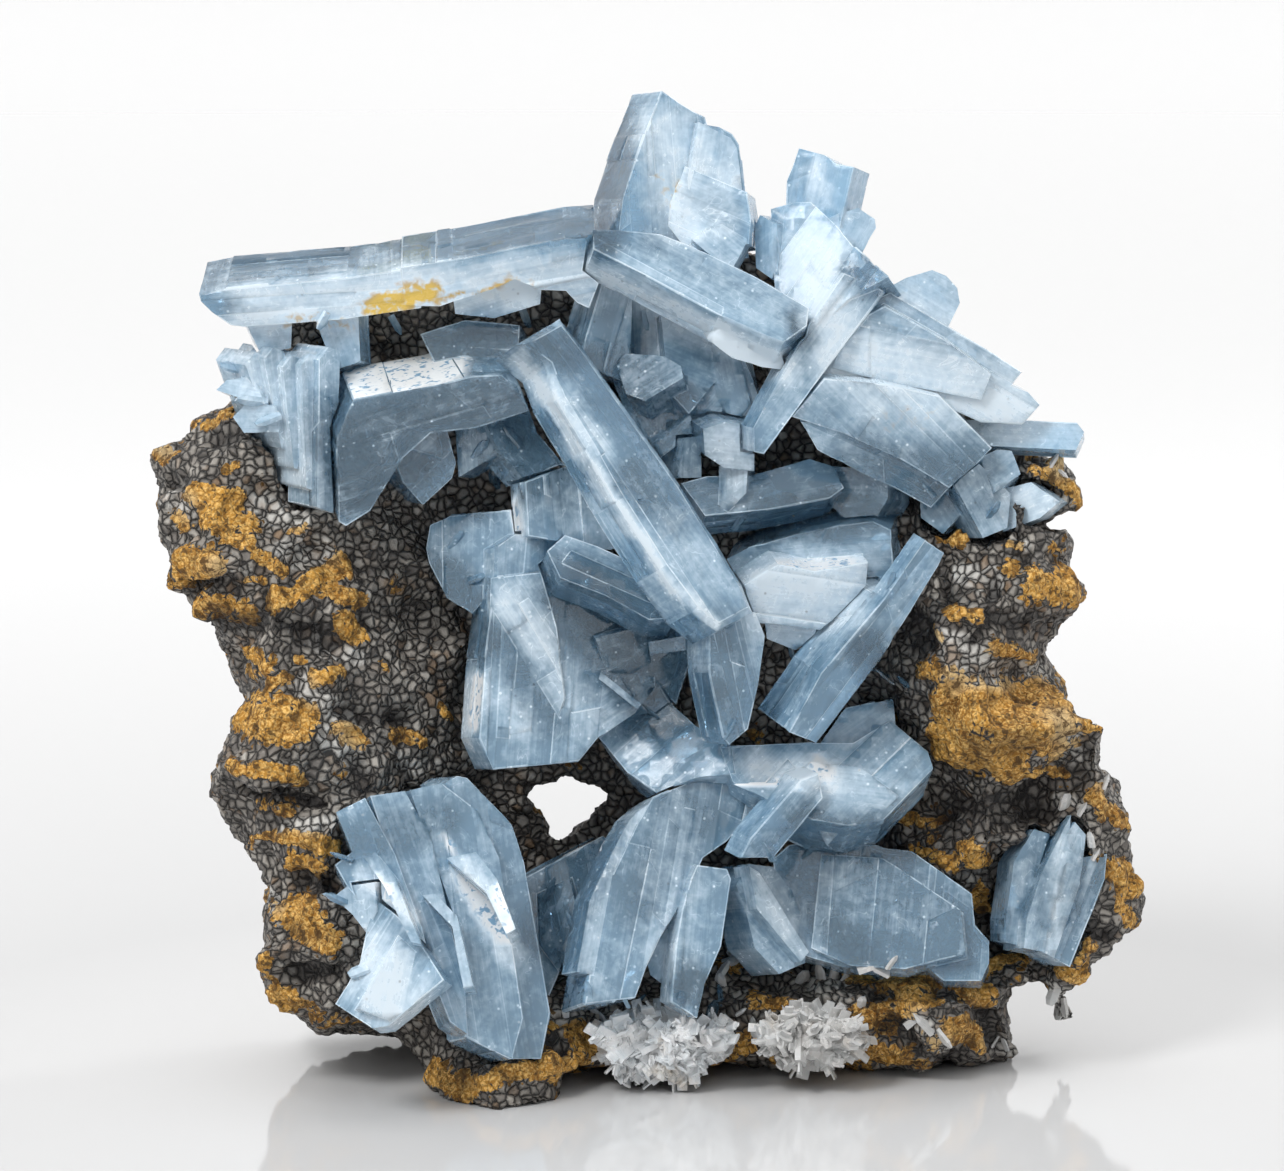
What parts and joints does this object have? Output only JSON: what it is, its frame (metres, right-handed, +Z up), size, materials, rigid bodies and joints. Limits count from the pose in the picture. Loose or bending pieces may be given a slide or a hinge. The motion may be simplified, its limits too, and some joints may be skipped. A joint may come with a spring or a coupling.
{
  "type": "barite crystal specimen",
  "caption": "Cabinet mineral specimen: tabular pale blue barite blades crossing on a dark botryoidal matrix with ochre crusts, standing on its own foot.",
  "frame": {"origin": "the middle of the bounding box, on the ground that the specimen stands on", "axes": "+Z up, the side with the crystals faces -Y, +X to the right as seen from that side"},
  "size_m": [0.1016, 0.0466, 0.0988],
  "materials": {
    "blue_crystal": "gloss",
    "white_druse": "gloss",
    "matrix_rock": "matte"
  },
  "bodies": {
    "root": {"long_blade": "blue_crystal", "top_diagonal_blade": "blue_crystal", "right_diagonal_blade": "blue_crystal", "lower_left_fan": "blue_crystal", "lower_left_blades": "blue_crystal", "lower_middle_blades": "blue_crystal", "lower_right_fan": "blue_crystal", "shelf_blades": "blue_crystal", "cross_blade": "blue_crystal", "frosty_plate": "blue_crystal", "left_tab": "blue_crystal", "middle_slabs": "blue_crystal", "upper_right_blades": "blue_crystal", "top_left_bars": "blue_crystal", "crown": "blue_crystal", "left_block": "blue_crystal", "left_stack": "blue_crystal", "right_blades": "blue_crystal", "right_chips": "blue_crystal", "middle_chips": "blue_crystal", "middle_back_plates": "blue_crystal", "grey_plates": "blue_crystal", "right_group": "blue_crystal", "left_druse": "white_druse", "right_druse": "white_druse", "matrix": "matrix_rock"}
  },
  "joints": []
}
